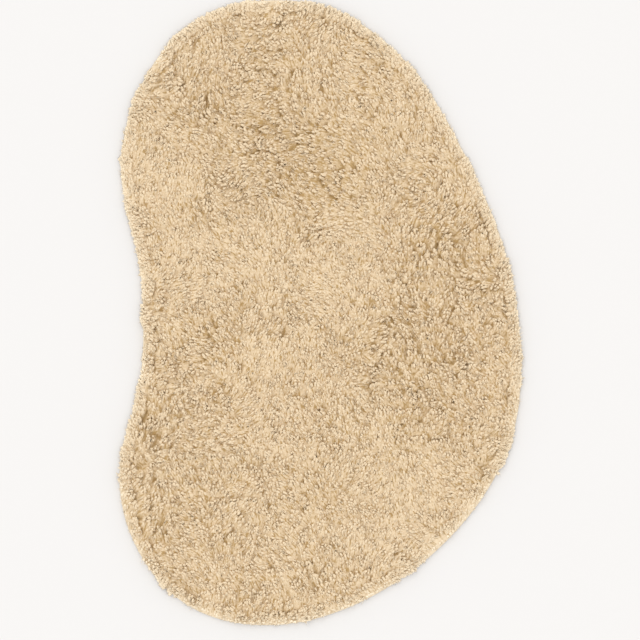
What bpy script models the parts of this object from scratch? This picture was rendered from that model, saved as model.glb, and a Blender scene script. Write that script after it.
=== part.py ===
"""A kidney-shaped tufted rug with a long cut pile, lying flat, as one closed solid.

Metres, +Z up. The rug lies on z = 0. X runs across it and Y along it: the hollow of the waist faces -X, the
long curved back faces +X, and the crown is at +Y. The origin is the middle of its box, on the floor.

The pile and its backing are one piece: a flat underside, a rounded side with two rows of yarn locks standing
out of it, and a lumpy top at the height that the cut yarn reaches.
"""

import math

import bmesh
import bpy
import numpy as np
from mathutils import Matrix, Vector
from mathutils.geometry import delaunay_2d_cdt

# ---- Driving dimensions ------------------------------------------------------------------------------------
LENGTH = 1.400  # along Y, over the tips of the locks
WIDTH = 0.900  # along X, over the tips of the locks
PILE_TOP = 0.0246  # mean height of the lumpy top above the floor

SIDE_PARTS = 240  # faces round the rim, each of which carries one lock
LUMP_PITCH = 0.038  # from the crest of one lump to the next
LUMP_RISE = 0.0036  # how far a crest stands above the mean, and a hollow below it
LUMP_JITTER = 0.09  # how far a crest or hollow strays from its even place, as a share of the pitch
SWELL_RISE = 0.0006  # the height of the long, slow swells of the pile
SWELLS = ((7.0, 3.0, 0.4), (-4.0, 9.0, 2.1), (11.0, 6.0, 4.0))  # waves in radians a metre along X, Y; phase
SEED = 41  # for the lumps and the locks

YARN_COLOUR = (0.62, 0.47, 0.31, 1.0)  # undyed, oatmeal-coloured wool

# The plan, anticlockwise seen from above, with the box of its curve later fitted to WIDTH and LENGTH.
OUTLINE = (
    # station          x (m)    y (m)
    ("crown",         -0.105,   0.700),
    ("temple",        -0.300,   0.638),
    ("cheek, upper",  -0.414,   0.480),
    ("cheek",         -0.446,   0.300),
    ("waist, upper",  -0.411,   0.138),
    ("waist",         -0.397,  -0.020),
    ("waist, lower",  -0.410,  -0.180),
    ("heel",          -0.449,  -0.340),
    ("heel, lower",   -0.420,  -0.510),
    ("toe, left",     -0.290,  -0.660),
    ("toe",           -0.080,  -0.698),
    ("toe, right",     0.140,  -0.622),
    ("hip, lower",     0.325,  -0.465),
    ("hip",            0.432,  -0.270),
    ("belly",          0.448,  -0.075),
    ("back, lower",    0.412,   0.140),
    ("back",           0.327,   0.346),
    ("shoulder",       0.208,   0.541),
    ("brow",           0.060,   0.664),
)

# The side, from the floor up: how far each ring lies inside the plan's outline, and its height.
SIDE = (
    # ring             inset (m)  z (m)
    ("backing",        0.0190,    0.0000),
    ("lower row",      0.0135,    0.0040),
    ("between rows",   0.0115,    0.0120),
    ("upper row",      0.0150,    0.0190),
    ("top",            0.0280,    0.0240),
)

# The two rows of locks, staggered: each stands on every other face between two rings of the side.
LOCK_ROWS = (
    # row      lower ring  first face  rise at the bend (m)  drop at the tip (m)
    ("lower",  1,          0,          -0.0012,              -0.0052),
    ("upper",  2,          1,          0.0012,               -0.0040),
)
LOCK_REACH = 0.0128  # from a lock's root to its tip
LOCK_REACH_SPREAD = 0.0036  # a lock is longer or shorter by up to this
LOCK_BEND = 0.55  # where a lock bends, as a share of its reach
LOCK_TAPER = (0.52, 0.72)  # its least and greatest size at the bend, as shares of its root
LOCK_LEAN = math.radians(30.0)  # the most that a lock leans to either side


def plan_curve(count):
    """Points evenly spaced along the smooth closed curve through the outline's stations."""
    stations = np.array([(x, y) for _name, x, y in OUTLINE])
    after = np.roll(stations, -1, axis=0)
    span = np.linalg.norm(after - stations, axis=1)
    before_span = np.roll(span, 1)
    slope = (after - stations) / span[:, None]
    # A cubic spline: the second derivatives make the slope run on smoothly through every station.
    size = len(stations)
    system = np.zeros((size, size))
    for i in range(size):
        system[i, i] = 2.0 * (span[i] + before_span[i])
        system[i, i - 1] += before_span[i]
        system[i, (i + 1) % size] += span[i]
    bend = np.linalg.solve(system, 6.0 * (slope - np.roll(slope, 1, axis=0)))

    dense = np.concatenate([
        spline_span(stations[i], after[i], bend[i], bend[(i + 1) % size], span[i]) for i in range(size)
    ])
    run = np.linalg.norm(np.roll(dense, -1, axis=0) - dense, axis=1)
    along = np.concatenate([[0.0], np.cumsum(run)])
    wanted = np.linspace(0.0, along[-1], count, endpoint=False)
    closed = np.vstack([dense, dense[:1]])
    curve = np.column_stack([np.interp(wanted, along, closed[:, axis]) for axis in (0, 1)])
    low, high = curve.min(axis=0), curve.max(axis=0)
    return (curve - (low + high) / 2.0) * np.array([WIDTH, LENGTH]) / (high - low)


def spline_span(start, end, start_bend, end_bend, span, steps=60):
    """Points of one span of a cubic spline, without its end."""
    b = np.linspace(0.0, 1.0, steps, endpoint=False)[:, None]
    a = 1.0 - b
    return a * start + b * end + ((a ** 3 - a) * start_bend + (b ** 3 - b) * end_bend) * span ** 2 / 6.0


def outward(curve):
    """The unit vectors that point out of an anticlockwise closed curve, at each of its points."""
    along = np.roll(curve, -1, axis=0) - np.roll(curve, 1, axis=0)
    out = np.column_stack([along[:, 1], -along[:, 0]])
    return out / np.linalg.norm(out, axis=1)[:, None]


def swell(x, y):
    """The height that the long waves add at a point of the top."""
    waves = [math.sin(along_x * x + along_y * y + phase) for along_x, along_y, phase in SWELLS]
    return SWELL_RISE * sum(waves)


def lump_points(rng):
    """Crests on an even triangular net and a hollow in each of its triangles, all a little astray."""
    row_pitch = LUMP_PITCH * math.sqrt(0.75)
    rows = int(LENGTH / 2.0 / row_pitch) + 1
    columns = int(WIDTH / 2.0 / LUMP_PITCH) + 2
    kinds = (
        # kind       along X (pitches)  along Y (rows)  rise
        ("crest",    0.0,               0.0,            LUMP_RISE),
        ("hollow",   0.5,               1.0 / 3.0,      -LUMP_RISE),
        ("hollow",   0.0,               2.0 / 3.0,      -LUMP_RISE),
    )
    points = []
    for row in range(-rows, rows + 1):
        for column in range(-columns, columns + 1):
            for _kind, across, up, rise in kinds:
                stray = rng.uniform(-LUMP_JITTER, LUMP_JITTER, 2) * LUMP_PITCH
                x = (column + across + 0.5 * (row % 2)) * LUMP_PITCH + stray[0]
                y = (row + up) * row_pitch + stray[1]
                z = PILE_TOP + rise * rng.uniform(0.5, 1.2) + swell(x, y)
                points.append((x, y, z))
    return np.array(points)


def inside(points, curve, margin):
    """Which points lie inside a closed curve and no nearer to its own points than the margin."""
    start, end = curve, np.roll(curve, -1, axis=0)
    x, y = points[:, 0, None], points[:, 1, None]
    spans = (start[:, 1] > y) != (end[:, 1] > y)
    rise = np.where(end[:, 1] == start[:, 1], 1.0, end[:, 1] - start[:, 1])
    cross_x = start[:, 0] + (y - start[:, 1]) / rise * (end[:, 0] - start[:, 0])
    within = (spans & (cross_x > x)).sum(axis=1) % 2 == 1
    gap = np.hypot(x - start[:, 0], y - start[:, 1]).min(axis=1)
    return within & (gap > margin)


def add_cap(bm, ring, inner, face_up):
    """Fill a flat or lumpy cap between a ring of vertices and the free points within it."""
    flat = [Vector(vert.co[:2]) for vert in ring] + [Vector(point[:2]) for point in inner]
    border = [(i, (i + 1) % len(ring)) for i in range(len(ring))]
    triangles = delaunay_2d_cdt(flat, border, [], 1, 1e-7)[2]
    verts = list(ring) + [bm.verts.new(point) for point in inner]
    for corners in triangles:
        face = bm.faces.new([verts[i] for i in corners])
        face.normal_update()
        if (face.normal.z > 0.0) != face_up:
            face.normal_flip()


def add_side(bm, curve):
    """Rings of vertices from the floor to the top, joined by four-cornered faces, row by row."""
    out = outward(curve)
    rings = []
    for _name, inset, z in SIDE:
        rings.append([bm.verts.new((x, y, z)) for x, y in curve - out * inset])
    bands = []
    for lower, upper in zip(rings, rings[1:]):
        band = []
        for i in range(len(curve)):
            j = (i + 1) % len(curve)
            band.append(bm.faces.new((lower[i], lower[j], upper[j], upper[i])))
        bands.append(band)
    return rings, bands


def grow_lock(bm, root, bend_rise, tip_drop, rng):
    """Draw a four-sided lock of yarn out of a face: straight to a thinner bend, then aside to its tip."""
    root.normal_update()
    straight = Vector((root.normal.x, root.normal.y, 0.0)).normalized()
    aside = Matrix.Rotation(rng.uniform(-LOCK_LEAN, LOCK_LEAN), 3, "Z") @ straight
    reach = LOCK_REACH + rng.uniform(-LOCK_REACH_SPREAD, LOCK_REACH_SPREAD)
    centre = root.calc_center_median()
    bend = centre + straight * reach * LOCK_BEND
    bend.z += bend_rise * rng.uniform(0.0, 1.5)
    tip = bend + aside * reach * (1.0 - LOCK_BEND)
    tip.z = centre.z + tip_drop * rng.uniform(0.5, 1.2)
    taper = rng.uniform(*LOCK_TAPER)

    section = bmesh.ops.extrude_discrete_faces(bm, faces=[root])["faces"][0]
    for vert in section.verts:
        vert.co = bend + (vert.co - centre) * taper
    point = bmesh.ops.poke(bm, faces=[section])["verts"][0]
    point.co = tip


def centre_on_box(bm):
    """Move the rug so that the middle of its box is over the origin."""
    places = np.array([vert.co for vert in bm.verts])
    middle = (places.min(axis=0) + places.max(axis=0)) / 2.0
    bmesh.ops.translate(bm, verts=bm.verts, vec=(-middle[0], -middle[1], 0.0))


def rug_mesh():
    """The whole rug: its side, its locks, its lumpy top and its flat underside."""
    rng = np.random.default_rng(SEED)
    bm = bmesh.new()
    curve = plan_curve(SIDE_PARTS)
    rings, bands = add_side(bm, curve)

    top_ring = np.array([vert.co[:2] for vert in rings[-1]])
    lumps = lump_points(rng)
    lumps = lumps[inside(lumps, top_ring, LUMP_PITCH * 0.42)]
    add_cap(bm, rings[-1], lumps, face_up=True)
    add_cap(bm, rings[0], [], face_up=False)

    for _row, band, first, bend_rise, tip_drop in LOCK_ROWS:
        for root in bands[band][first::2]:
            grow_lock(bm, root, bend_rise, tip_drop, rng)

    centre_on_box(bm)
    bmesh.ops.recalc_face_normals(bm, faces=bm.faces)
    mesh = bpy.data.meshes.new("rug")
    bm.to_mesh(mesh)
    bm.free()
    mesh.shade_smooth()
    mesh.set_sharp_from_angle(angle=math.radians(60.0))
    return mesh


def yarn():
    """Matt wool yarn."""
    material = bpy.data.materials.new("pile_yarn")
    material.use_nodes = True
    shader = material.node_tree.nodes["Principled BSDF"]
    shader.inputs["Base Color"].default_value = YARN_COLOUR
    shader.inputs["Roughness"].default_value = 0.95
    shader.inputs["Metallic"].default_value = 0.0
    return material


def main():
    """Clear the scene and build the rug."""
    for obj in list(bpy.data.objects):
        bpy.data.objects.remove(obj, do_unlink=True)
    mesh = rug_mesh()
    mesh.materials.append(yarn())
    bpy.context.scene.collection.objects.link(bpy.data.objects.new("rug", mesh))


main()
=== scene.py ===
"""A kidney-shaped tufted rug: the curly cut pile and the woven backing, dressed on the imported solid.

The solid gives the outline, the height and the lumps. Here a dense body of yarn takes its place, with a
thick lock for each tuft, thin strands among them, and a fringe at the rim. A lock belongs to a tuft, and a
tuft to a clump. Hands have brushed the pile this way and that, and where two clumps part it opens in a
crevice. Metres throughout, +Z up, in the solid's own frame.
"""

import logging
import math
from dataclasses import dataclass, field
from enum import Enum

import bpy
import numpy as np
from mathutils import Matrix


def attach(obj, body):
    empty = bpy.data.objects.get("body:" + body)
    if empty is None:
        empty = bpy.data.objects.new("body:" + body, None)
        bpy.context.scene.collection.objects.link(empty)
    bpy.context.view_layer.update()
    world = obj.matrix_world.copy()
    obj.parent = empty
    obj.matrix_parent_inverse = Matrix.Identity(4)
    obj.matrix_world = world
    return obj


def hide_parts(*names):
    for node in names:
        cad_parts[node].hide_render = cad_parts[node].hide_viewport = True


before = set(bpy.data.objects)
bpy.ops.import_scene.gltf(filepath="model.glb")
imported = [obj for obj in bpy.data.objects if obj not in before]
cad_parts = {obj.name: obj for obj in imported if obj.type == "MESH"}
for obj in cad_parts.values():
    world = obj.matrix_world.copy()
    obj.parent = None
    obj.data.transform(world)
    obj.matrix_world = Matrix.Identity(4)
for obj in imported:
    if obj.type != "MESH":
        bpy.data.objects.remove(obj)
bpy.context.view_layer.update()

LOG = logging.getLogger("tufted_rug")
BODY = "root"
SOLID = "rug"
PLAN_UV = "OFBake"  # a map with a cell for each lock, for baked pictures
FIBRE_UV = "Fibres"  # a map in metres, round each lock and along it, for the fibres' streaks
FIBRE_ROOM = 0.10  # metres of that map that each lock has for its own
Colour = tuple[float, float, float]
Span = tuple[float, float]
Array = np.ndarray
Socket = bpy.types.NodeSocket
Feeds = dict[str | int, Socket | float | tuple[float, ...]]  # what a node's inputs are fed or set to


class Slot(Enum):
    """The record's material slots."""

    YARN = "pile_yarn"
    BACKING = "backing_cloth"


# ---- Small tools for arrays and meshes --------------------


def unit(vectors: Array) -> Array:
    """Vectors brought to a length of one: each is divided by its own length."""
    return vectors / np.maximum(np.linalg.norm(vectors, axis=-1, keepdims=True), 1e-12)


def ease(share: Array) -> Array:
    """A share from 0 to 1 that starts and stops softly: three squares less two cubes."""
    clipped = np.clip(share, 0.0, 1.0)
    return clipped * clipped * (3.0 - 2.0 * clipped)


@dataclass(frozen=True)
class Rolling:
    """A smooth noise over the plan."""

    size: float  # the spread of its values
    wavelength: float  # the middle length of its waves
    seed: int  # which noise
    waves: int = 14  # how many are added
    lengths: Span = (0.7, 1.5)  # of the shortest and the longest, beside the middle one

    def at(self, points: Array) -> Array:
        """The noise at points: a sum of plane waves of random heading, length and phase.

        Args:
            points: (n, 2) places on the plan.

        Returns:
            (n,) values.
        """
        rng = np.random.default_rng(self.seed)
        heading = rng.uniform(0.0, 2.0 * math.pi, self.waves)
        number = 2.0 * math.pi / (self.wavelength * rng.uniform(*self.lengths, self.waves))
        phase = rng.uniform(0.0, 2.0 * math.pi, self.waves)
        along = points[:, :1] * np.cos(heading) + points[:, 1:2] * np.sin(heading)
        return self.size * (np.sin(along * number + phase).sum(axis=1) * math.sqrt(2.0 / self.waves))


def even_net(pitch: float, reach_x: float, reach_y: float, stray: float, rng: np.random.Generator) -> Array:
    """Points of a triangular net, each strayed from its place.

    Args:
        pitch: from a point to the next in its row.
        reach_x: half the net's width.
        reach_y: half the net's length.
        stray: the most that a point strays, as a share of the pitch.
        rng: the source of the strays.

    Returns:
        (n, 2) points, row by row.
    """
    row_pitch = pitch * math.sqrt(0.75)
    rows = np.arange(-int(reach_y / row_pitch) - 1, int(reach_y / row_pitch) + 2)
    columns = np.arange(-int(reach_x / pitch) - 1, int(reach_x / pitch) + 2)
    column, row = np.meshgrid(columns, rows)
    points = np.stack([(column + 0.5 * (row % 2)) * pitch, row * row_pitch], axis=-1).reshape(-1, 2)
    return points + rng.uniform(-stray, stray, points.shape) * pitch


def add_mesh(name: str, points: Array, faces: Array, **maps: Array) -> bpy.types.Object:
    """A mesh object at the origin, from whole arrays.

    Args:
        name: the object's name.
        points: (n, 3) vertices.
        faces: (m, k) corners of faces of k sides, anticlockwise seen from outside.
        maps: the UV maps by name, (m * k, 2) coordinates of the corners each.

    Returns:
        The new object, linked to the scene and shaded smooth.
    """
    count, sides = faces.shape
    mesh = bpy.data.meshes.new(name)
    mesh.vertices.add(len(points))
    mesh.vertices.foreach_set("co", points.astype(np.float32).ravel())
    mesh.loops.add(count * sides)
    mesh.loops.foreach_set("vertex_index", faces.astype(np.int32).ravel())
    mesh.polygons.add(count)
    mesh.polygons.foreach_set("loop_start", np.arange(0, count * sides, sides, dtype=np.int32))
    mesh.polygons.foreach_set("use_smooth", np.ones(count, dtype=bool))
    for title, uv in maps.items():
        mesh.uv_layers.new(name=title).data.foreach_set("uv", uv.astype(np.float32).ravel())
    mesh.update(calc_edges=True)
    mesh.validate()
    obj = bpy.data.objects.new(name, mesh)
    bpy.context.scene.collection.objects.link(obj)
    return obj


def add_values(obj: bpy.types.Object, name: str, values: Array) -> None:
    """Give each vertex of an object a value of its own, by a name that its material reads."""
    attribute = obj.data.attributes.new(name, "FLOAT", "POINT")
    attribute.data.foreach_set("value", values.astype(np.float32).ravel())


def dress(obj: bpy.types.Object, material: bpy.types.Material) -> bpy.types.Object:
    """Finish a piece: its material, the body it rides on, and the solid it stands for.

    Args:
        obj: the piece, in place.
        material: its finish.

    Returns:
        The same piece.
    """
    obj.data.materials.append(material)
    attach(obj, BODY)
    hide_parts(SOLID)
    return obj


# ---- Finishes --------------------


class Shader:
    """A material's node tree, built up a node at a time around one Principled shader."""

    def __init__(self, name: str, roughness: float) -> None:
        """Start a material.

        Args:
            name: the material's name.
            roughness: how matt it is, from 0 to 1.
        """
        self.material = bpy.data.materials.new(name)
        self.material.use_nodes = True
        self.tree = self.material.node_tree
        self.principled = self.tree.nodes["Principled BSDF"]
        self.feed(self.principled, {"Roughness": roughness, "Metallic": 0.0})

    def node(self, kind: str, inputs: Feeds | None = None, **settings: object) -> bpy.types.Node:
        """Add a node.

        Args:
            kind: what it is, such as ShaderNodeMath.
            inputs: for each of its inputs, by name or number, the output that feeds it or its plain value.
            settings: its other properties.

        Returns:
            The node.
        """
        made = self.tree.nodes.new(kind)
        for setting, value in settings.items():
            setattr(made, setting, value)
        self.feed(made, inputs or {})
        return made

    def feed(self, node: bpy.types.Node, inputs: Feeds) -> None:
        """Join outputs to a node's inputs, or set the inputs to plain values.

        Args:
            node: the node.
            inputs: for each of its inputs, by name or number, the output or the value.
        """
        for name, value in inputs.items():
            if isinstance(value, Socket):
                self.tree.links.new(value, node.inputs[name])
            else:
                node.inputs[name].default_value = value

    def surface(self, inputs: Feeds) -> bpy.types.Material:
        """Feed the Principled shader, and give the finished material."""
        self.feed(self.principled, inputs)
        return self.material

    def value(self, name: str) -> Socket:
        """The socket of a value that the mesh's vertices carry."""
        return self.node("ShaderNodeAttribute", attribute_name=name).outputs["Fac"]

    def place(self) -> Socket:
        """The socket of the piece's own coordinates."""
        return self.node("ShaderNodeTexCoord").outputs["Object"]

    def noise(self, cycles: float, detail: float = 2.0) -> Socket:
        """The socket of a noise over the piece's own coordinates, of so many cycles a metre."""
        feeds = {"Vector": self.place(), "Scale": cycles, "Detail": detail}
        return self.node("ShaderNodeTexNoise", feeds).outputs["Fac"]

    def streaks(self, around: float, along: float) -> Socket:
        """A noise that is drawn out along each lock, for its fibres.

        Args:
            around: cycles a metre round a lock.
            along: cycles a metre along it.

        Returns:
            The noise's socket.
        """
        place = self.node("ShaderNodeUVMap", uv_map=FIBRE_UV).outputs["UV"]
        stretch = self.node("ShaderNodeMapping", {"Vector": place, "Scale": (around, along, 1.0)})
        feeds = {"Vector": stretch.outputs["Vector"], "Scale": 1.0, "Detail": 1.0}
        return self.node("ShaderNodeTexNoise", feeds, noise_dimensions="2D").outputs["Fac"]

    def eased(self, source: Socket, low: float, high: float) -> Socket:
        """The socket of a source that runs softly from 0 at the low value to 1 at the high one."""
        feeds = {"Value": source, "From Min": low, "From Max": high}
        return self.node("ShaderNodeMapRange", feeds, interpolation_type="SMOOTHSTEP").outputs["Result"]

    def worked(self, operation: str, *operands: Socket | float) -> Socket:
        """The socket of a sum, a product or the like of sockets and plain numbers."""
        return self.node("ShaderNodeMath", dict(enumerate(operands)), operation=operation).outputs[0]

    def scaled(self, source: Socket, gain: float, offset: float) -> Socket:
        """The socket of a source times a gain, plus an offset."""
        return self.worked("MULTIPLY_ADD", source, gain, offset)

    def ramp(self, source: Socket, *stops: tuple[float, Colour]) -> Socket:
        """A colour that runs from stop to stop.

        Args:
            source: a socket from 0 to 1.
            stops: each stop's place on the way from 0 to 1, and its colour.

        Returns:
            The colour's socket.
        """
        made = self.node("ShaderNodeValToRGB", {"Fac": source})
        elements = made.color_ramp.elements
        while len(elements) < len(stops):
            elements.new(0.5)
        for element, (place, colour) in zip(elements, stops):
            element.position = place
            element.color = (*colour, 1.0)
        return made.outputs["Color"]

    def mixed(self, source: Socket, colour: Colour, share: Socket) -> Socket:
        """A colour that turns to another.

        Args:
            source: the socket of the first colour.
            colour: the other.
            share: how much of the other shows, from 0 to 1.

        Returns:
            The mixed colour's socket.
        """
        made = self.node("ShaderNodeMix", data_type="RGBA")
        place = {socket.identifier: number for number, socket in enumerate(made.inputs)}
        self.feed(made, {
            place["Factor_Float"]: share,
            place["A_Color"]: source,
            place["B_Color"]: (*colour, 1.0),
        })
        return next(socket for socket in made.outputs if socket.identifier == "Result_Color")

    def bump(self, height: Socket, distance: float, strength: float = 1.0) -> Socket:
        """The socket of a normal that a height socket bends, of so many metres at full height."""
        feeds = {"Height": height, "Distance": distance, "Strength": strength}
        return self.node("ShaderNodeBump", feeds).outputs["Normal"]


@dataclass(frozen=True)
class YarnFinish:
    """Undyed, woolly yarn, paler at the cut tip: painted shade deepens its tone at the root and between its
    fibres.
    """

    # the root tone is painted shade: the yarn darkened as light falls off deep in the pile
    root: Colour = (0.41, 0.268, 0.118)
    middle: Colour = (0.685, 0.538, 0.360)
    tip: Colour = (0.742, 0.603, 0.420)
    rim_light_colour: Colour = (0.90, 0.79, 0.61)  # painted light: the colour where the rim's yarn is palest, lit from the side and from the floor
    middle_at: float = 0.38  # where on a lock, from its root on, it comes to its middle tone
    tip_at: float = 0.58  # and to its tip's
    roughness: float = 0.95
    gloss: float = 0.0  # a matt yarn: a mirror's share of light would show grey in the gaps
    lock_shade: float = 0.10  # how far a lock's own tone, random and in part the brushings' painted light and shade, moves it along the colours
    fibre_shade: float = 0.40  # how far the painted shade in the gap between two fibres does
    fibres_around: float = 260.0  # cycles a metre round a lock
    fibres_along: float = 60.0  # cycles a metre along it
    fibre_gap: Span = (0.27, 0.50)  # the noise's values in a gap and on a fibre
    fibre_depth: float = 0.0003
    mottle: float = 0.30  # how far a fine noise moves every colour
    mottle_cycles: float = 210.0  # of that noise, a metre

    def material(self, name: str) -> bpy.types.Material:
        """The yarn's material, which reads each vertex's place along its lock and its lock's tone.

        The place along the lock, plus a share of the tone, less the painted shade of the gaps between fibres,
        plus a fine noise, picks the colour on the way from root to tip, whose darker root tone is painted
        shade. Painted light at the rim then pales it.

        Args:
            name: the material's name.

        Returns:
            The material.
        """
        shader = Shader(name, self.roughness)
        fibres = shader.eased(shader.streaks(self.fibres_around, self.fibres_along), *self.fibre_gap)
        toned = shader.scaled(shader.value("tone"), self.lock_shade, 0.0)
        # painted shade in the gaps between fibres, moving the colour towards the root tone
        fibre_gap_shade = shader.scaled(fibres, self.fibre_shade, -self.fibre_shade)
        mottled = shader.scaled(shader.noise(self.mottle_cycles), 2.0 * self.mottle, -self.mottle)
        place = shader.worked("ADD", shader.value("along"), toned)
        place = shader.worked("ADD", place, shader.worked("ADD", fibre_gap_shade, mottled))
        colour = shader.ramp(place, (0.0, self.root), (self.middle_at, self.middle), (self.tip_at, self.tip))
        # painted light at the rim, mixed in by each vertex's share
        colour = shader.mixed(colour, self.rim_light_colour, shader.value("rim_light"))
        normal = shader.bump(fibres, self.fibre_depth)
        return shader.surface({"Base Color": colour, "Normal": normal, "Specular IOR Level": self.gloss})


@dataclass(frozen=True)
class BackingFinish:
    """Plain-woven cotton cloth in an unbleached shade."""

    yarn: Colour = (0.72, 0.64, 0.50)
    gap: Colour = (0.40, 0.33, 0.22)
    gap_width: float = 0.45  # how much of the way from a gap's middle to a thread's the colour turns in
    thread: float = 0.0021  # from one thread to the next
    waver: float = 0.6  # how far a thread strays from a straight line
    relief: float = 0.0004
    crispness: float = 0.8  # of the relief
    roughness: float = 0.9

    def material(self, name: str) -> bpy.types.Material:
        """The cloth's material: two sets of bands crossed and multiplied, one thread over and one under.

        Args:
            name: the material's name.

        Returns:
            The material.
        """
        shader = Shader(name, self.roughness)
        cycles = math.pi / (10.0 * self.thread)
        feeds = {"Vector": shader.place(), "Scale": cycles, "Distortion": self.waver}
        across, along = (
            shader.node("ShaderNodeTexWave", feeds, wave_type="BANDS", bands_direction=way).outputs["Fac"]
            for way in ("X", "Y")
        )
        weave = shader.worked("MULTIPLY", across, along)
        colour = shader.ramp(weave, (0.0, self.gap), (self.gap_width, self.yarn))
        normal = shader.bump(weave, self.relief, self.crispness)
        return shader.surface({"Base Color": colour, "Normal": normal})


# ---- The plan --------------------


@dataclass
class RugPlan:
    """The rug's outline and lumps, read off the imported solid."""

    overhang: float = 0.019  # how far the pile's outline lies outside the backing's edge
    lump_reach: float = 0.009  # how far a lump of the solid's top is felt
    foot: float = 0.0002  # a vertex below this height is on the floor
    crest: float = 0.5  # a vertex above this share of the height is on the top
    backing_edge: Array = field(init=False)  # (n, 2) anticlockwise
    outline: Array = field(init=False)  # (n, 2) anticlockwise
    lumps: Array = field(init=False)  # (m, 3) crests and hollows of the top

    def __post_init__(self) -> None:
        """Read the solid's vertices: those on the floor are the backing's edge, and the high ones lumps."""
        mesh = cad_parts[SOLID].data
        places = np.zeros(len(mesh.vertices) * 3, np.float32)
        mesh.vertices.foreach_get("co", places)
        places = np.unique(places.reshape(-1, 3).round(5).astype(float), axis=0)
        ring = places[places[:, 2] < self.foot, :2]
        self.backing_edge = ring[np.argsort(np.arctan2(ring[:, 1], ring[:, 0]))]
        self.outline = self.backing_edge + self.edge_normals() * self.overhang
        self.lumps = places[places[:, 2] > self.crest * places[:, 2].max()]

    def edge_normals(self) -> Array:
        """The unit vectors that point out of the backing's edge, at each of its points."""
        along = np.roll(self.backing_edge, -1, axis=0) - np.roll(self.backing_edge, 1, axis=0)
        return unit(np.column_stack([along[:, 1], -along[:, 0]]))

    def measure(self, points: Array, block: int = 4000) -> tuple[Array, Array]:
        """How deep points lie inside the outline, and which way out is.

        The nearest point of each of the outline's sides is found, and the nearest of those is kept.

        Args:
            points: (n, 2) places on the plan.
            block: how many points are taken at a time.

        Returns:
            (n,) depths, below zero outside, and (n, 2) unit vectors that point out.
        """
        start = self.outline
        side = np.roll(start, -1, axis=0) - start
        normal = unit(np.column_stack([side[:, 1], -side[:, 0]]))
        depths, ways = [], []
        for i in range(0, len(points), block):
            offset = points[i:i + block, None, :] - start[None]
            share = np.clip((offset * side).sum(axis=2) / (side ** 2).sum(axis=1), 0.0, 1.0)
            away = offset - share[..., None] * side
            gap = np.linalg.norm(away, axis=2)
            best = gap.argmin(axis=1)
            row = np.arange(len(best))
            inward = -(away[row, best] * normal[best]).sum(axis=1)
            depths.append(np.copysign(gap[row, best], inward))
            ways.append(normal[best])
        return np.concatenate(depths), np.concatenate(ways)

    def top(self, points: Array, block: int = 1500) -> Array:
        """The height of the solid's top: its lumps' heights, weighted by a bell curve of distance.

        Args:
            points: (n, 2) places on the plan.
            block: how many points are taken at a time.

        Returns:
            (n,) heights.
        """
        heights = []
        for i in range(0, len(points), block):
            gap = ((points[i:i + block, None, :] - self.lumps[None, :, :2]) ** 2).sum(axis=2)
            weight = np.exp(-0.5 * gap / self.lump_reach ** 2) + 1e-9
            heights.append((weight * self.lumps[:, 2]).sum(axis=1) / weight.sum(axis=1))
        return np.concatenate(heights)

    def area(self) -> float:
        """The backing's area in square metres, by the shoelace rule."""
        x, y = self.backing_edge.T
        return 0.5 * float(np.abs((x * np.roll(y, -1) - np.roll(x, -1) * y).sum()))

    def ring(self, inset: float) -> Array:
        """The outline drawn in by an inset."""
        return self.outline - self.edge_normals() * inset

    def row(self, inset: float, spacing: float, stray: float, rng: np.random.Generator) -> Array:
        """Points along the outline drawn in by an inset.

        Args:
            inset: how far inside the outline the row runs.
            spacing: from point to point.
            stray: the most that a point strays along the row, as a share of the spacing.
            rng: the source of the strays.

        Returns:
            (n, 2) points.
        """
        ring = self.ring(inset)
        closed = np.vstack([ring, ring[:1]])
        run = np.concatenate([[0.0], np.cumsum(np.linalg.norm(np.diff(closed, axis=0), axis=1))])
        count = int(run[-1] / spacing)
        along = (np.arange(count) + rng.uniform(-stray, stray, count)) * run[-1] / count % run[-1]
        return np.column_stack([np.interp(along, run, closed[:, axis]) for axis in (0, 1)])


# ---- The pile --------------------


@dataclass(frozen=True)
class Brushing:
    """A place where hands or feet have laid the pile over."""

    x: float
    y: float
    reach: float
    heading: float  # which way the tips lie, in degrees anticlockwise from +X
    lean: float  # how far, as a share of lying flat
    tone: float  # painted light above 0, where the pale tips show, and painted shade below 0, where the deeper-toned sides do

    def felt(self, points: Array) -> Array:
        """How much of the brushing is felt at points: a bell curve of their distance."""
        return np.exp(-0.5 * ((points - (self.x, self.y)) ** 2).sum(axis=1) / self.reach ** 2)


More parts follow.
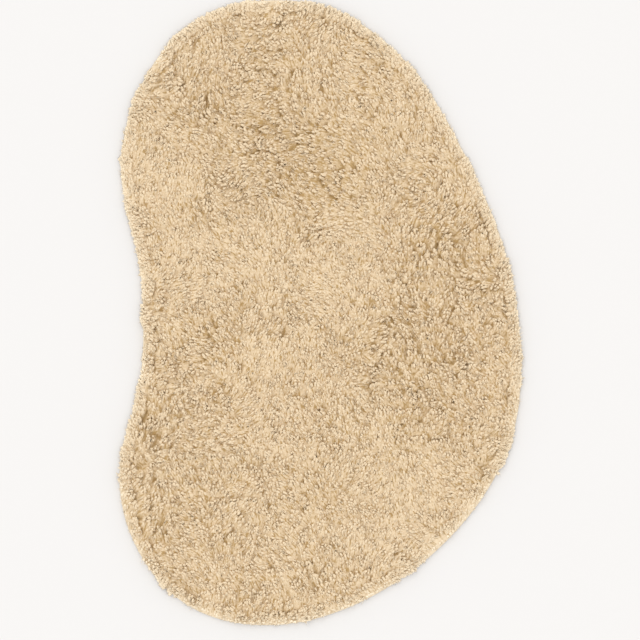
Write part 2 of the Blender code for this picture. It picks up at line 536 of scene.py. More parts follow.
BRUSHINGS = tuple(Brushing(*row) for row in (
    # x      y      reach  heading lean  tone
    (-0.40,  0.32, 0.070,  95.0, 0.60,  0.2),
    (-0.12,  0.38, 0.080, 195.0, 0.70, -0.5),
    (-0.02,  0.34, 0.060, 173.0, 0.70, -0.4),
    ( 0.08,  0.35, 0.060, 151.0, 0.70, -0.2),
    ( 0.02,  0.25, 0.070, 180.0, 0.60, -0.4),
    ( 0.08,  0.46, 0.070, 138.0, 0.60,  0.0),
    ( 0.18,  0.43, 0.070, 115.0, 0.60,  0.0),
    (-0.12,  0.08, 0.080, 113.0, 0.60,  0.1),
    (-0.12, -0.12, 0.060,  63.0, 0.60,  0.1),
    (-0.02, -0.12, 0.060,  79.0, 0.60,  0.2),
    ( 0.26,  0.16, 0.060,  60.0, 0.50, -0.7),
    ( 0.35,  0.24, 0.070,  75.0, 0.50,  0.0),
    ( 0.21, -0.30, 0.090, 110.0, 0.50,  0.0),
    ( 0.07, -0.41, 0.080,  96.0, 0.50,  0.1),
    (-0.38, -0.47, 0.060,  55.0, 0.60, -0.5),
    (-0.12, -0.55, 0.080, 114.0, 0.60,  0.0),
    (-0.26,  0.22, 0.030, 120.0, 0.20, -0.8),
    (-0.38, -0.24, 0.040,  60.0, 0.20, -0.7),
    ( 0.21, -0.07, 0.080,  90.0, 0.20, -0.5),
    ( 0.22, -0.24, 0.045,  90.0, 0.20, -0.5),
    ( 0.05,  0.14, 0.090,  90.0, 0.10,  0.5),
    ( 0.20, -0.45, 0.090,  90.0, 0.10,  0.5),
    (-0.31,  0.20, 0.100,  90.0, 0.20,  0.4),
    (-0.25,  0.46, 0.035, 120.0, 0.15, -0.7),
    (-0.23, -0.04, 0.040,  90.0, 0.15, -0.6),
    ( 0.01, -0.39, 0.040,  90.0, 0.15, -0.4),
    (-0.27,  0.06, 0.045,  90.0, 0.10,  0.4),
    (-0.12, -0.27, 0.050,  90.0, 0.10,  0.4),
))


@dataclass(frozen=True)
class Lie:
    """How the pile has been laid over, and its tone there: the brushings, whose tones are painted light and
    shade, and a wandering of its own.
    """

    nap: Span = (-0.10, 0.28)  # the lie that the machine leaves all over
    drift: tuple[Rolling, Rolling] = (Rolling(0.26, 0.20, 31), Rolling(0.26, 0.20, 32))  # along X and Y
    eddy: tuple[Rolling, Rolling] = (Rolling(0.09, 0.07, 33), Rolling(0.09, 0.07, 34))
    least: float = 0.40  # how far the pile lies over, whatever moves it
    onset: float = 0.06  # the strength below which it lies over less than that
    gain: float = 0.35  # how much farther it lies over for each unit of strength
    shade: Rolling = Rolling(0.08, 0.09, 35)
    contrast: float = 1.55  # how much the brushings' painted light and shade count

    def way(self, points: Array) -> Array:
        """Which way, and how far, the pile lies over.

        The drift, the nap, the eddy and the lean of every brushing are added up. The sum keeps its heading.
        Its length becomes the hyperbolic tangent of length by onset, times the least lean, plus the gain
        times the length.

        Args:
            points: (n, 2) places on the plan.

        Returns:
            (n, 2) leans.
        """
        total = np.column_stack([rolling.at(points) for rolling in self.drift])
        total += self.nap
        total += np.column_stack([rolling.at(points) for rolling in self.eddy])
        for brushing in BRUSHINGS:
            angle = math.radians(brushing.heading)
            total += (brushing.lean * brushing.felt(points))[:, None] * (math.cos(angle), math.sin(angle))
        strength = np.linalg.norm(total, axis=1, keepdims=True)
        return unit(total) * (self.least * np.tanh(strength / self.onset) + self.gain * strength)

    def tone(self, points: Array) -> Array:
        """The tone of the pile: a noise, and each brushing's painted light and shade by how much it is felt.

        Args:
            points: (n, 2) places on the plan.

        Returns:
            (n,) tones, above 0 where the pile is paler.
        """
        total = self.shade.at(points)
        for brushing in BRUSHINGS:
            total += self.contrast * brushing.tone * brushing.felt(points)
        return total


LIE = Lie()
RIM_LIGHT = 0.9  # how much painted light pales the yarn at the very rim
RIM_FADE = 0.009  # how far inside it this has fallen to about a third
RIM_LIGHT_FROM, RIM_LIGHT_OVER = 0.10, 0.40  # where between root tone and tip tone a lock pales with painted rim light, and over how much


def painted_rim_light(depth: Array) -> Array:
    """How much painted light pales the yarn at a depth inside the outline: it dies away exponentially
    inwards.
    """
    return RIM_LIGHT * np.exp(-np.maximum(depth, 0.0) / RIM_FADE)


@dataclass(frozen=True)
class Company:
    """What clumps make of a set of points."""

    own: Array  # (n,) the clump of each
    away: Array  # (n,) how far each lies from its clump's middle, 1 at a usual border
    crevice: Array  # (n,) from 0 on a clump to 1 in the deepest crevice
    inward: Array  # (n, 2) the way to the clump's middle


@dataclass
class Clumps:
    """The groups that tufts keep: a row of long ones that rolls over the rim, and rounder ones inside it."""

    plan: RugPlan
    pitch: float = 0.0235
    stray: float = 0.36  # the most that a middle strays from an even net, as a share of the pitch
    rim_inset: float = 0.0130  # of the middles of the rim's row
    rim_spacing: float = 0.0235
    rim_stray: float = 0.40
    inner_inset: float = 0.0370  # of the outermost middles inside the rim's row
    lean_range: Span = (0.0, 0.22)
    reach_range: Span = (0.94, 1.06)
    tone_spread: float = 0.25
    parting_width: float = 0.0023
    shut: float = 0.12  # how deep the shallowest parting is, beside the deepest
    open_from: float = 0.50  # the chance above which a parting is deeper than that
    furrow: float = 0.62  # how deep the rim's row parts from the clumps inside it
    furrow_change: Rolling = Rolling(0.30, 0.06, 63)
    furrow_limits: Span = (0.1, 1.0)
    thinning: float = 0.62  # how deep the partings are over a pile of middling tone
    thinning_change: Rolling = Rolling(0.20, 0.13, 61)
    thinning_tone: float = 0.6  # how much deeper they are for each unit of tone below it
    thinning_limits: Span = (0.15, 1.15)
    border: float = 0.55  # how far a usual border lies from its clump's middle, as a share of the pitch
    farthest: float = 1.5  # the most that counts as the way to a middle, beside that
    seed: int = 17
    centres: Array = field(init=False)  # (n, 2) the rim's row first
    rim_count: int = field(init=False)
    lean: Array = field(init=False)  # (n, 2)
    reach: Array = field(init=False)  # (n,) how long its locks are, beside the usual
    tone: Array = field(init=False)  # (n,)
    chance: Array = field(init=False)  # (n,) what decides how deeply it parts from others

    def __post_init__(self) -> None:
        """Lay out the middles of the clumps, and the lean and tone of each."""
        rng = np.random.default_rng(self.seed)
        reach_x, reach_y = np.abs(self.plan.outline).max(axis=0)
        inner = even_net(self.pitch, reach_x, reach_y, self.stray, rng)
        depth, _way = self.plan.measure(inner)
        inner = inner[depth > self.inner_inset]
        rim = self.plan.row(self.rim_inset, self.rim_spacing, self.rim_stray, rng)
        self.centres = np.vstack([rim, inner])
        self.rim_count = len(rim)
        count = len(self.centres)
        turn, lean = rng.uniform(0.0, 2.0 * math.pi, count), rng.uniform(*self.lean_range, count)
        self.reach = rng.uniform(*self.reach_range, count)
        self.lean = lean[:, None] * np.column_stack([np.cos(turn), np.sin(turn)])
        self.tone = rng.normal(0.0, self.tone_spread, count)
        self.chance = rng.uniform(0.0, 1.0, count)

    def nearest(self, points: Array, block: int = 4000) -> tuple[Array, Array]:
        """The two clumps whose middles are nearest to each point, the nearer first.

        They are found by the squares of the distances, less the point's own, which is the same for all.

        Args:
            points: (n, 2) places on the plan.
            block: how many points are taken at a time.

        Returns:
            (n, 2) clumps, and (n, 2) distances to their middles.
        """
        pairs, gaps = [], []
        for i in range(0, len(points), block):
            here = points[i:i + block]
            square = (self.centres ** 2).sum(axis=1) - 2.0 * here @ self.centres.T
            first = square.argmin(axis=1)
            square[np.arange(len(here)), first] = math.inf
            pair = np.column_stack([first, square.argmin(axis=1)])
            pairs.append(pair)
            gaps.append(np.linalg.norm(here[:, None] - self.centres[pair], axis=2))
        return np.vstack(pairs), np.vstack(gaps)

    def near(self, points: Array) -> Company:
        """The clump that points belong to, and how deep a crevice they lie in.

        A point's crevice is a bell curve of how much farther off the second clump is than the first, times a
        strength that the two share: the fraction part of the sum of their chances, eased so that few part
        deeply. The rim's row parts from the rest along a furrow of its own. All are shallower where the pile
        is paler.

        Args:
            points: (n, 2) places on the plan.

        Returns:
            What is known of each point.
        """
        (own, other), (away, farther) = (pair.T for pair in self.nearest(points))
        gap = farther - away
        shared = (self.chance[own] + self.chance[other]) % 1.0
        strength = self.shut + (1.0 - self.shut) * ease((shared - self.open_from) / (1.0 - self.open_from))
        furrow = (own < self.rim_count) != (other < self.rim_count)
        changed = self.furrow + self.furrow_change.at(points[furrow])
        strength[furrow] = np.clip(changed, *self.furrow_limits)
        thinned = self.thinning + self.thinning_change.at(points) - self.thinning_tone * LIE.tone(points)
        crevice = strength * np.clip(thinned, *self.thinning_limits)
        crevice *= np.exp(-((gap / (2.0 * self.parting_width)) ** 2))
        away = np.minimum(away / (self.border * self.pitch), self.farthest)
        return Company(own, away, crevice, unit(self.centres[own] - points))


@dataclass
class PileBody:
    """The dense mass of the pile, up to where single locks can be told apart."""

    plan: RugPlan
    clumps: Clumps
    cells: int = 170  # along each side of the square net that covers the top
    plateau_inset: float = 0.028
    plateau: float = 0.0207
    lumpiness: float = 0.8  # how high its lumps are, beside the solid's
    swells: tuple[Rolling, Rolling] = (Rolling(0.0009, 0.015, 51, 24), Rolling(0.0005, 0.030, 52, 24))
    dome: float = 0.0019  # how much higher a clump's middle stands than its border
    crevice_depth: float = 0.0056
    side_lump: Rolling = Rolling(0.0004, 0.012, 53)
    lump_from: float = 0.004  # how high up the side its lumps begin
    lump_over: float = 0.006  # and how much higher they are whole
    along: Span = (0.32, -0.03)  # from root tone to tip tone, on a clump and deep in a crevice, where the darker tone is painted shade
    mottle: Rolling = Rolling(0.3, 0.02, 54)
    rim_light: float = 0.7  # how much painted rim light the body takes, beside its tufts'
    side: tuple[tuple[float, float], ...] = (  # insets and heights of the side's rings, from the backing up
        (0.0186, 0.0021),
        (0.0070, 0.0025),
        (0.0022, 0.0036),
        (0.0011, 0.0058),
        (0.0030, 0.0088),
        (0.0076, 0.0122),
        (0.0132, 0.0150),
        (0.0207, 0.0180),
    )

    def height(self, points: Array) -> Array:
        """The height of the top: the solid's lumps, two swells and each clump's dome, less the crevices.

        Args:
            points: (n, 2) places on the plan.

        Returns:
            (n,) heights.
        """
        lump = self.plan.top(points) - float(np.median(self.plan.lumps[:, 2]))
        company = self.clumps.near(points)
        swell = self.swells[0].at(points) + self.swells[1].at(points)
        dome = self.dome * (0.5 - company.away ** 2)
        return self.plateau + self.lumpiness * lump + swell + dome - self.crevice_depth * company.crevice

    def net(self) -> Array:
        """The top's points: a square net drawn to a disc, and the disc drawn to the plateau's edge.

        Each square ring of the net becomes a circle, and its sides become quarters of it. The disc is
        stretched to an oval as wide and as long as the rug. Then each point slides along its own bearing, so
        that the outermost ring meets the plateau's edge.

        Returns:
            (cells + 1, cells + 1, 2) points.
        """
        line = np.linspace(-1.0, 1.0, self.cells + 1)
        a, b = np.meshgrid(line, line)
        wide = np.abs(a) > np.abs(b)
        radius = np.where(wide, a, b)
        safe = np.where(radius == 0.0, 1.0, radius)
        turn = np.where(wide, 0.25 * math.pi * b / safe, 0.5 * math.pi - 0.25 * math.pi * a / safe)
        reach_x, reach_y = np.abs(self.plan.outline).max(axis=0)
        bearing = np.arctan2(reach_y * radius * np.sin(turn), reach_x * radius * np.cos(turn))
        rim = self.plan.ring(self.plateau_inset)
        x, y = (np.interp(bearing, self.bearings(rim), axis, period=2.0 * math.pi) for axis in rim.T)
        return np.stack([x, y], axis=-1) * np.abs(radius)[..., None]

    @staticmethod
    def bearings(ring: Array) -> Array:
        """The bearing of each point of a ring, seen from the middle."""
        return np.arctan2(ring[:, 1], ring[:, 0])

    def shell(self) -> tuple[Array, Array]:
        """A closed slab: the net on top, rings round the side, and a fan of triangles underneath.

        Each ring is the outline drawn in by its inset, taken at the bearings of the net's rim, with lumps of
        its own. The fan closes the last ring to a point in the middle.

        Returns:
            (n, 3) vertices, and (m, 3) corners of triangles.
        """
        net = self.net()
        top = np.column_stack([net.reshape(-1, 2), self.height(net.reshape(-1, 2))])
        size = self.cells + 1
        grid = np.arange(size * size).reshape(size, size)
        corners = (grid[:-1, :-1], grid[:-1, 1:], grid[1:, 1:], grid[1:, :-1])
        quads = [np.stack(corners, axis=-1).reshape(-1, 4)]
        rim = np.concatenate([grid[0, :-1], grid[:-1, -1], grid[-1, :0:-1], grid[:0:-1, 0]])

        plateau = self.bearings(self.plan.ring(self.plateau_inset))
        bearing = self.bearings(top[rim])
        rings, upper, start = [], rim, len(top)
        for inset, height in self.side[::-1]:
            ring = self.plan.ring(inset)
            x, y = (np.interp(bearing, plateau, axis, period=2.0 * math.pi) for axis in ring.T)
            lump = self.side_lump.at(np.column_stack([x, y]))
            lump *= ease((height - self.lump_from) / self.lump_over)
            rings.append(np.column_stack([x, y, height + lump]))
            lower = start + np.arange(len(rim))
            start += len(rim)
            quads.append(np.column_stack([lower, np.roll(lower, -1), np.roll(upper, -1), upper]))
            upper = lower
        points = np.vstack([top, *rings, [[0.0, 0.0, self.side[0][1]]]])
        quad = np.concatenate(quads)
        tri = np.concatenate([quad[:, [0, 1, 2]], quad[:, [0, 2, 3]]])
        under = np.column_stack([np.roll(upper, -1), upper, np.full(len(rim), start)])
        return points, np.vstack([tri, under])

    def build(self, finish: bpy.types.Material) -> bpy.types.Object:
        """The slab, with its fibres' map and the values that its finish reads.

        Args:
            finish: the yarn's material.

        Returns:
            The dressed piece.
        """
        points, faces = self.shell()
        places = points[:, :2]
        depth, _way = self.plan.measure(places)
        high, low = self.along
        obj = add_mesh("pile_body", points, faces, **{FIBRE_UV: self.combed(points[faces][..., :2])})
        # painted shade: the yarn darkens towards root tone in the crevices
        add_values(obj, "along", high + (low - high) * self.clumps.near(places).crevice)
        # the tone: a noise and the brushings' painted light and shade
        add_values(obj, "tone", LIE.tone(places) + self.mottle.at(places))
        # painted light at the body's rim
        add_values(obj, "rim_light", self.rim_light * painted_rim_light(depth))
        LOG.info("%s: %d triangles", obj.name, len(faces))
        return dress(obj, finish)

    def combed(self, corners: Array) -> Array:
        """The map that lays fibres along the pile: each clump's own plan, turned to point its lie along V.

        Args:
            corners: (m, 3, 2) places of the faces' corners.

        Returns:
            (m * 3, 2) coordinates.
        """
        own = self.clumps.near(corners.mean(axis=1)).own
        lie = unit(LIE.way(self.clumps.centres) + self.clumps.lean)[own, None]
        offset = corners - self.clumps.centres[own, None]
        across = offset[..., 0] * lie[..., 1] - offset[..., 1] * lie[..., 0]
        forward = (offset * lie).sum(axis=-1)
        return np.stack([across, forward], axis=-1).reshape(-1, 2) + FIBRE_ROOM * np.repeat(own, 3)[:, None]


@dataclass
class Tufts:
    """Every tuft of the rug: where it leaves the body, which way it grows, and its tone."""

    body: PileBody
    pitch: float = 0.0070
    scatter: float = 0.34  # the most that a tuft strays from an even net, as a share of the pitch
    missed: float = 0.12  # the share of tufts that are missing where the pile is thinnest
    missed_change: Rolling = Rolling(0.4, 0.06, 62)
    overlap: float = 0.003  # how far past the plateau's edge the top's tufts reach
    side_start: float = 0.006  # how far up the side from the backing the first row grows
    side_rows: float = 0.75  # from row to row up the side, beside the pitch
    side_spacing: float = 0.85  # and from tuft to tuft along a row
    side_scatter: float = 0.4
    side_jitter: float = 0.001  # the most that a tuft stands above its row or below it
    side_step: float = 0.001  # how far to either side of a row the side's slope is taken
    upright: float = 0.44  # how much a tuft rises, beside a lean of one sideways
    stray: Span = (0.02, 0.20)  # how far a tuft strays from its neighbours' heading
    drawn: float = 0.16  # how far a tuft leans to its clump's middle, at the clump's border
    closing: float = 1.2  # and how far in a crevice
    reach_range: Span = (0.97, 1.03)
    rim_trim: float = 0.25  # how much shorter a tuft is that grows sideways
    pale_trim: float = 0.12  # how much shorter it is for each unit of the pile's tone
    reach_change: Rolling = Rolling(0.05, 0.09, 64)
    tone_spread: float = 0.35
    rim_light_range: Span = (0.75, 1.25)
    seed: int = 7
    foot: Array = field(init=False)  # (n, 3)
    up: Array = field(init=False)  # (n, 3) square to the body
    heading: Array = field(init=False)  # (n, 3)
    reach: Array = field(init=False)  # (n,) how long its locks are, beside the usual
    tone: Array = field(init=False)  # (n,)
    rim_light: Array = field(init=False)  # (n,) its share of the painted rim light

    def __post_init__(self) -> None:
        """Sow the tufts and lean each: as the pile is laid there, with its clump, and by its own stray."""
        rng = np.random.default_rng(self.seed)
        clumps = self.body.clumps
        top, side = self.on_top(rng), self.on_side(rng)
        self.foot, self.up = np.vstack([top[0], side[0]]), np.vstack([top[1], side[1]])
        count = len(self.foot)
        places = self.foot[:, :2]
        company = clumps.near(places)
        turn, stray = rng.uniform(0.0, 2.0 * math.pi, count), rng.uniform(*self.stray, count)
        drawn = self.drawn * company.away * self.up[:, 2] + self.closing * company.crevice
        flat = LIE.way(places) + clumps.lean[company.own] + drawn[:, None] * company.inward
        flat += stray[:, None] * np.column_stack([np.cos(turn), np.sin(turn)])
        lean = np.column_stack([flat, np.zeros(count)])
        lean -= (lean * self.up).sum(axis=1, keepdims=True) * self.up * (1.0 - self.up[:, 2:])
        self.heading = unit(self.upright * self.up + lean)
        # the brushings' painted light and shade, with a noise
        tone = LIE.tone(places)
        self.reach = clumps.reach[company.own] * rng.uniform(*self.reach_range, count)
        self.reach *= 1.0 - self.rim_trim * (1.0 - self.up[:, 2]) - self.pale_trim * tone
        self.reach += self.reach_change.at(places)
        depth, _way = clumps.plan.measure(places)
        self.tone = clumps.tone[company.own] + rng.normal(0.0, self.tone_spread, count) + tone
        # painted rim light, stronger for some tufts than others
        self.rim_light = painted_rim_light(depth) * rng.uniform(*self.rim_light_range, count)

    def on_top(self, rng: np.random.Generator) -> tuple[Array, Array]:
        """Where tufts leave the body's top: a net of places, less those that are missed.

        Args:
            rng: the source of the strays.

        Returns:
            (n, 3) places, and (n, 3) ways up there, all of them straight up.
        """
        plan = self.body.plan
        reach_x, reach_y = np.abs(plan.outline).max(axis=0)
        places = even_net(self.pitch, reach_x, reach_y, self.scatter, rng)
        depth, _way = plan.measure(places)
        missed = self.missed * ease(0.5 + self.missed_change.at(places))
        kept = rng.uniform(0.0, 1.0, len(places)) > missed
        places = places[(depth > self.body.plateau_inset - self.overlap) & kept]
        return np.column_stack([places, self.body.height(places)]), np.tile((0.0, 0.0, 1.0), (len(places), 1))

    def on_side(self, rng: np.random.Generator) -> tuple[Array, Array]:
        """Where tufts leave the body's side: rows of them, evenly spaced along its profile.

        Args:
            rng: the source of the strays.

        Returns:
            (n, 3) places, and (n, 3) ways up there, square to the profile.
        """
        plan, feet, ups = self.body.plan, [], []
        profile = np.array([*self.body.side, (self.body.plateau_inset, self.body.plateau)])
        run = np.concatenate([[0.0], np.cumsum(np.linalg.norm(np.diff(profile, axis=0), axis=1))])
        for place in np.arange(self.side_start, run[-1], self.side_rows * self.pitch):
            inset = float(np.interp(place, run, profile[:, 0]))
            row = plan.row(inset, self.side_spacing * self.pitch, self.side_scatter, rng)
            _depth, way = plan.measure(row)
            before, after = (
                np.array([np.interp(place + step, run, profile[:, axis]) for axis in (0, 1)])
                for step in (-self.side_step, self.side_step)
            )
            inward, rise = unit(after - before)
            height = float(np.interp(place, run, profile[:, 1]))
            height = height + rng.uniform(-self.side_jitter, self.side_jitter, len(row))
            feet.append(np.column_stack([row, height]))
            ups.append(np.column_stack([way * rise, np.full(len(row), inward)]))
        return np.vstack(feet), np.vstack(ups)


@dataclass(frozen=True)
class Station:
    """A place along a lock, from its root on."""

    share: float  # of the lock's length
    width: float  # beside the lock's radius
    droop: float  # how much the stretch after it falls, beside its heading
    along: float  # from root tone to tip tone


@dataclass(frozen=True)
class LockForm:
    """One kind of lock: how many a tuft has, its shape, and how it grows."""

    name: str
    pieces: int
    seed: int
    per_tuft: float
    corners: int
    spread: Span  # how far its root lies from the tuft's middle
    length: Span
    radius: Span
    depth: float  # how far the root lies under the body's surface
    splay: float  # how far it turns away from the tuft's heading
    curl: float  # how far each stretch turns to the side
    under: float  # painted shade: how much nearer to root tone it is where it faces down
    flatness: float  # how thick it is from top to bottom, beside its width
    stations: tuple[Station, ...]
    rim_only: bool = False


CORES = LockForm(
    name="tuft_cores", pieces=3, seed=7, per_tuft=1.0, corners=5,
    spread=(0.0, 0.0003), length=(0.0142, 0.0156), radius=(0.0028, 0.0038),
    depth=0.0048, splay=0.05, curl=0.24, under=0.05, flatness=0.70,
    stations=(
        Station(0.00, 0.00, 0.00, 0.15),
        Station(0.46, 1.00, 0.20, 0.54),
        Station(0.82, 0.85, 0.60, 0.68),
        Station(1.00, 0.00, 0.00, 0.64),
    ),
)
STRANDS = LockForm(
    name="strands", pieces=2, seed=8, per_tuft=0.55, corners=3,
    spread=(0.0018, 0.0040), length=(0.0130, 0.0180), radius=(0.0010, 0.0015),
    depth=0.0040, splay=0.12, curl=0.45, under=0.05, flatness=1.0,
    stations=(
        Station(0.00, 0.00, 0.00, 0.30),
        Station(0.45, 1.00, 0.35, 0.60),
        Station(0.80, 0.90, 1.00, 0.70),
        Station(1.00, 0.00, 0.00, 0.70),
    ),
)
FRINGE = LockForm(
    name="fringe", pieces=1, seed=9, per_tuft=3.0, corners=3,
    spread=(0.0005, 0.0034), length=(0.0130, 0.0200), radius=(0.0004, 0.0007),
    depth=0.0030, splay=0.22, curl=0.60, under=0.0, flatness=1.0, rim_only=True,
    stations=(
        Station(0.00, 0.00, 0.60, 0.60),
        Station(0.45, 1.00, 0.60, 0.70),
        Station(1.00, 0.00, 0.00, 0.70),
    ),
)


@dataclass
class Locks:
    """The locks of one form, a few to each tuft."""

    tufts: Tufts
    form: LockForm
    odds: Span = (0.0, 0.999)  # what is added to the locks a tuft has, before its whole part is taken
    side_up: float = 0.95  # a tuft whose up is lower than this grows on the side
    askew: tuple[float, float, float] = (0.31, 0.95, 0.05)  # any way that no tuft heads
    splay_spread: Span = (0.6, 0.6)  # the middle and spread of a lock's splay, beside its form's
    droop_range: Span = (0.5, 1.5)  # of how far a lock falls, beside its form's
    tone_spread: float = 0.4
    swelling: Rolling = Rolling(0.04, 0.12, 36)  # how the locks' radii change over the plan
    unevenness: Span = (0.85, 1.15)  # of the spokes of a ring
    clearance: float = 0.0004  # over the floor
    margin: float = 0.1  # round a lock in its cell of the map, as a share of the cell
    shape_seed: int = 100  # above the form's own, for the unevenness of its locks

    def spines(self) -> tuple[Array, Array, Array, Array]:
        """The line of every lock.

        A lock sets out beside its tuft's middle, along the tuft's heading and splayed a little to its own
        side. At each station it turns by its curl to the side and by its droop to the floor, and runs on to
        the next.

        Returns:
            (n, stations, 3) places, (n,) radii, (n,) tones, and (n,) shares of the painted rim light.
        """
        form, tufts = self.form, self.tufts
        rng = np.random.default_rng(form.seed)
        number = (form.per_tuft + rng.uniform(*self.odds, len(tufts.foot))).astype(int)
        if form.rim_only:
            number *= tufts.up[:, 2] < self.side_up
        own = np.repeat(np.arange(len(number)), number)
        first = np.repeat(np.cumsum(number) - number, number)
        count = len(own)
        bearing = rng.uniform(0.0, 2.0 * math.pi, len(number))[own]
        bearing += (np.arange(count) - first) * 2.0 * math.pi / number[own]
        heading = tufts.heading[own]
        across = unit(np.cross(heading, self.askew))
        over = np.cross(heading, across)
        aside = np.cos(bearing)[:, None] * across + np.sin(bearing)[:, None] * over
        place = tufts.foot[own] + aside * rng.uniform(*form.spread, (count, 1)) - tufts.up[own] * form.depth
        length = rng.uniform(*form.length, (count, 1)) * tufts.reach[own, None]
        line = unit(heading + form.splay * rng.normal(*self.splay_spread, (count, 1)) * aside)
        sideways = unit(np.cross(heading, rng.normal(0.0, 1.0, (count, 3)))) * form.curl
        places = [place]
        for here, ahead in zip(form.stations, form.stations[1:]):
            fall = rng.uniform(*self.droop_range, (count, 1)) * here.droop
            line = unit(line + sideways * (here.share > 0.0) - (0.0, 0.0, 1.0) * fall)
            place = place + line * (ahead.share - here.share) * length
            places.append(place)
        tone = tufts.tone[own] + rng.normal(0.0, self.tone_spread, count)
        radius = rng.uniform(*form.radius, count) * (1.0 + self.swelling.at(place[:, :2]))
        return np.stack(places, axis=1), radius, tone, tufts.rim_light[own]

    def pattern(self) -> tuple[Array, Array]:
        """The faces of one lock, a closed spindle of rings from its root to its tip.

        Returns:
            (m, 3) corners, numbered from the root on, and (m, 3, 2) their places, as shares of the way round
            the lock and along it.
        """
        corners, stations = self.form.corners, self.form.stations
        rings = len(stations) - 2
        tip = 1 + corners * rings
        faces, uv = [], []
        for side in range(corners):
            left, right = side / corners, (side + 1) / corners
            middle = 0.5 * (left + right)
            near, far = 1 + side, 1 + (side + 1) % corners
            faces.append((0, far, near))
            uv.append(((middle, 0.0), (right, stations[1].share), (left, stations[1].share)))
            for k in range(rings - 1):
                low, high = stations[k + 1].share, stations[k + 2].share
                a, b = near + corners * k, far + corners * k
                faces += [(a, b, b + corners), (a, b + corners, a + corners)]
                uv += [((left, low), (right, low), (right, high)), ((left, low), (right, high), (left, high))]
            last = corners * (rings - 1)
            faces.append((near + last, far + last, tip))
            uv.append(((left, stations[-2].share), (right, stations[-2].share), (middle, 1.0)))
        return np.array(faces), np.array(uv)

    def points(self, spine: Array, radius: Array, rng: np.random.Generator) -> tuple[Array, Array]:
        """The vertices of every lock: its root, a ring of uneven spokes square to its line at each station
        between, and its tip.

        Args:
            spine: (n, stations, 3) places.
            radius: (n,) radii.
            rng: the source of the unevenness.

        Returns:
            (n, corners * (stations - 2) + 2, 3) places, none under the floor, and as many values from root
            tone to tip tone: those of the stations, less painted shade where a vertex faces down.
        """
        form = self.form
        facing = unit(rng.normal(0.0, 1.0, (len(spine), 3)))
        rows = [spine[:, 0]]
        tones = [np.full(len(spine), form.stations[0].along)]
        for k, station in list(enumerate(form.stations))[1:-1]:
            line = unit(spine[:, k + 1] - spine[:, k - 1])
            across = unit(np.cross(line, facing))
            over = np.cross(line, across)
            for turn in np.arange(form.corners) * 2.0 * math.pi / form.corners:
                spoke = math.cos(turn) * across + math.sin(turn) * over
                width = radius * station.width * rng.uniform(*self.unevenness, len(spine))
                rows.append(spine[:, k] + spoke * width[:, None] * (1.0, 1.0, form.flatness))
                # painted shade on each lock's underside
                tones.append(station.along + form.under * 0.5 * (spoke[:, 2] - 1.0))
        tones.append(np.full(len(spine), form.stations[-1].along))
        points = np.stack([*rows, spine[:, -1]], axis=1)
        points[..., 2] = np.maximum(points[..., 2], self.clearance)
        return points, np.stack(tones, axis=1)

    def build(self, finish: bpy.types.Material) -> list[bpy.types.Object]:
        """Make the locks, in interleaved pieces that each span the whole rug.

        Args:
            finish: the yarn's material.

        Returns:
            The dressed pieces.
        """
        form = self.form
        spine, radius, tone, rim_light = self.spines()
        length = np.linalg.norm(np.diff(spine, axis=1), axis=2).sum(axis=1)
        extent = np.column_stack([2.0 * math.pi * radius, length])
        rng = np.random.default_rng(form.seed + self.shape_seed)
        points, along = self.points(spine, radius, rng)
        count, size = points.shape[:2]
        faces, corner = self.pattern()
        made = []
        for k in range(form.pieces):
            mine = np.arange(k, count, form.pieces)
            tri = (faces[None] + size * np.arange(len(mine))[:, None, None]).reshape(-1, 3)
            columns = math.ceil(math.sqrt(len(mine)))
            cell = np.column_stack([np.arange(len(mine)) % columns, np.arange(len(mine)) // columns])
            uv = (cell[:, None, None] + self.margin + (1.0 - 2.0 * self.margin) * corner[None]).reshape(-1, 2)
            fibres = FIBRE_ROOM * cell[:, None, None] + corner[None] * extent[mine, None, None]
            maps = {PLAN_UV: uv / columns, FIBRE_UV: fibres.reshape(-1, 2)}
            obj = add_mesh(f"{form.name}_{'abcde'[k]}", points[mine].reshape(-1, 3), tri, **maps)
            add_values(obj, "along", along[mine].reshape(-1))
            add_values(obj, "tone", np.repeat(tone[mine], size))
            # painted rim light, from part way along each lock to its tip
            rim_lit = rim_light[mine, None] * ease((along[mine] - RIM_LIGHT_FROM) / RIM_LIGHT_OVER)
            add_values(obj, "rim_light", rim_lit.reshape(-1))
            made.append(dress(obj, finish))
            LOG.info("%s: %d locks, %d triangles", obj.name, len(mine), len(tri))
        return made


@dataclass
class Backing:
    """The cloth that the yarn is tufted through: a flat sheet whose edge the pile hides."""

    plan: RugPlan
    thickness: float = 0.0018
    lift: float = 0.0002

    def build(self, finish: bpy.types.Material) -> bpy.types.Object:
        """A closed flat sheet with the backing's outline: two faces and a wall of small sides.

        Args:
            finish: the cloth's material.

        Returns:
            The dressed piece.
        """
        edge = self.plan.backing_edge
        count = len(edge)
        low = np.column_stack([edge, np.full(count, self.lift)])
        high = low + (0.0, 0.0, self.thickness)
        poles = np.array([[0.0, 0.0, self.lift], [0.0, 0.0, self.lift + self.thickness]])
        points = np.vstack([low, high, poles])
        i = np.arange(count)
        j = np.roll(i, -1)
        faces = np.vstack([
            np.column_stack([j, i, np.full(count, 2 * count)]),
            np.column_stack([i + count, j + count, np.full(count, 2 * count + 1)]),
            np.column_stack([i, j, j + count]),
            np.column_stack([i, j + count, i + count]),
        ])
        obj = add_mesh("backing", points, faces)
        obj.data.polygons.foreach_set("use_smooth", np.zeros(len(faces), dtype=bool))
        return dress(obj, finish)

    def declare(self) -> None:
        """Work out the backing's area from the plan, which nothing here uses.
        """
        self.plan.area()


# ---- Floor, light and camera --------------------


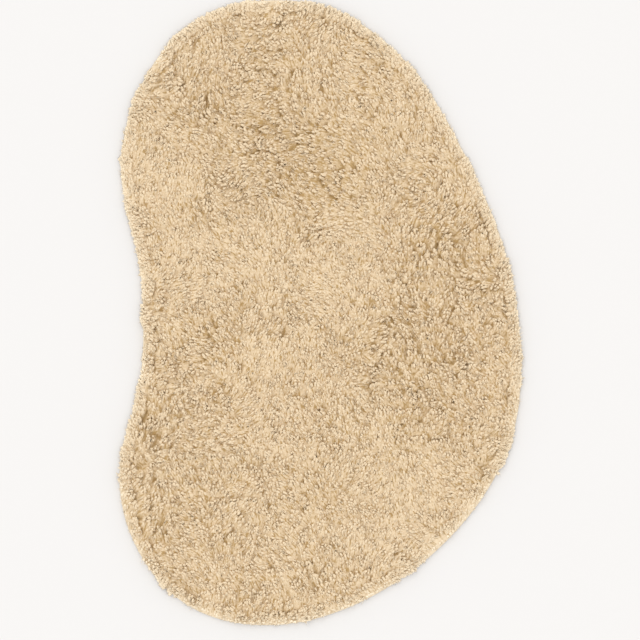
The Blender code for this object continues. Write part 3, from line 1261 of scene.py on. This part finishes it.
@dataclass
class Studio:
    """A pale floor, soft light from all round the sky, and a camera straight above."""

    floor_size: float = 14.0
    floor_colour: Colour = (0.693, 0.680, 0.668)
    floor_roughness: float = 0.9
    floor_gloss: float = 0.1
    sky: float = 1.25
    key: float = 0.50
    key_bearing: float = 115.0  # degrees anticlockwise from +X
    key_height: float = 50.0  # degrees above the floor
    key_softness: float = 40.0  # degrees across
    camera_height: float = 4.2
    film: float = 36.0  # the width of the camera's film, in millimetres
    view_width: float = 1.426  # across the frame, at the pile's surface
    aim: Span = (0.0010, -0.0156)

    def build(self, pile_height: float) -> None:
        """Make the floor, the light and the camera.

        Args:
            pile_height: the height of the pile's surface, which the view's width is measured at.
        """
        half = self.floor_size / 2.0
        corners = np.array([[-half, -half, 0.0], [half, -half, 0.0], [half, half, 0.0], [-half, half, 0.0]])
        floor = add_mesh("floor", corners, np.array([[0, 1, 2, 3]]))
        paint = Shader("floor_paint", self.floor_roughness)
        floor.data.materials.append(paint.surface(
            {"Base Color": (*self.floor_colour, 1.0), "Specular IOR Level": self.floor_gloss}
        ))

        scene = bpy.context.scene
        world = bpy.data.worlds.new("sky")
        world.use_nodes = True
        world.node_tree.nodes["Background"].inputs["Color"].default_value = (1.0, 1.0, 1.0, 1.0)
        world.node_tree.nodes["Background"].inputs["Strength"].default_value = self.sky
        scene.world = world
        scene.view_settings.view_transform = "Standard"

        light = bpy.data.lights.new("key", "SUN")
        light.energy = self.key
        light.angle = math.radians(self.key_softness)
        key = bpy.data.objects.new("key", light)
        key.rotation_euler = (0.0, math.radians(90.0 - self.key_height), math.radians(self.key_bearing))
        scene.collection.objects.link(key)

        camera = bpy.data.cameras.new("camera")
        camera.sensor_width = self.film
        camera.lens = camera.sensor_width * (self.camera_height - pile_height) / self.view_width
        eye = bpy.data.objects.new("camera", camera)
        eye.location = (*self.aim, self.camera_height)
        scene.collection.objects.link(eye)
        scene.camera = eye


def main() -> None:
    """Build the rug from its plan up, then the studio."""
    logging.basicConfig(level=logging.INFO, format="%(name)s: %(message)s")
    plan = RugPlan()
    LOG.info("plan: outline of %d points, backing of %.3f square metres", len(plan.outline), plan.area())
    yarn = YarnFinish().material("pile_yarn_finish")
    cloth = BackingFinish().material("backing_cloth_finish")
    backing = Backing(plan)
    sheet = backing.build(cloth)
    body = PileBody(plan, Clumps(plan))
    mass = body.build(yarn)
    tufts = Tufts(body)
    locks = [piece for form in (CORES, STRANDS, FRINGE) for piece in Locks(tufts, form).build(yarn)]
    backing.declare()
    Studio().build(float(np.median(plan.lumps[:, 2])))


if __name__ == "__main__":
    main()
